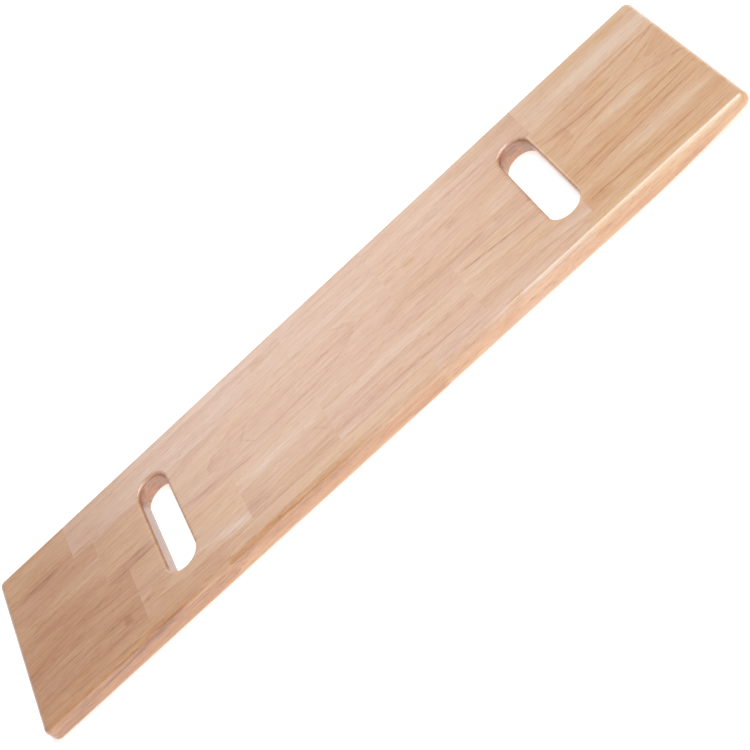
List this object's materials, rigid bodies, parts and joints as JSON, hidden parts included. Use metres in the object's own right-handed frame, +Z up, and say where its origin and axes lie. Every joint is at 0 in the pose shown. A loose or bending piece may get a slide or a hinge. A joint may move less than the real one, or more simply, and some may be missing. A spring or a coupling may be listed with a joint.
{
  "type": "transfer board",
  "caption": "Rigid wooden transfer board with a hand hole near each end, rounded edges and an underside that curves up at one end.",
  "frame": {"origin": "under the middle of the board, on the surface that it lies on", "axes": "+X along the board, +Y across it towards the back row of staves, +Z up out of the top face"},
  "size_m": [0.76, 0.203, 0.019],
  "materials": {
    "rubberwood_pale": "satin clear lacquer",
    "rubberwood_mid": "satin clear lacquer",
    "rubberwood_warm": "satin clear lacquer"
  },
  "bodies": {
    "root": {"back_row_stave_1": "rubberwood_pale", "back_row_stave_2": "rubberwood_mid", "back_row_stave_3": "rubberwood_mid", "back_row_stave_4": "rubberwood_warm", "back_row_stave_5": "rubberwood_pale", "mid_back_row_stave_1": "rubberwood_warm", "mid_back_row_stave_2": "rubberwood_warm", "mid_back_row_stave_3": "rubberwood_mid", "mid_back_row_stave_4": "rubberwood_mid", "mid_back_row_stave_5": "rubberwood_warm", "mid_front_row_stave_1": "rubberwood_warm", "mid_front_row_stave_2": "rubberwood_warm", "mid_front_row_stave_3": "rubberwood_pale", "mid_front_row_stave_4": "rubberwood_mid", "mid_front_row_stave_5": "rubberwood_mid", "mid_front_row_stave_6": "rubberwood_warm", "front_row_stave_1": "rubberwood_warm", "front_row_stave_2": "rubberwood_mid", "front_row_stave_3": "rubberwood_mid", "front_row_stave_4": "rubberwood_warm"}
  },
  "joints": []
}
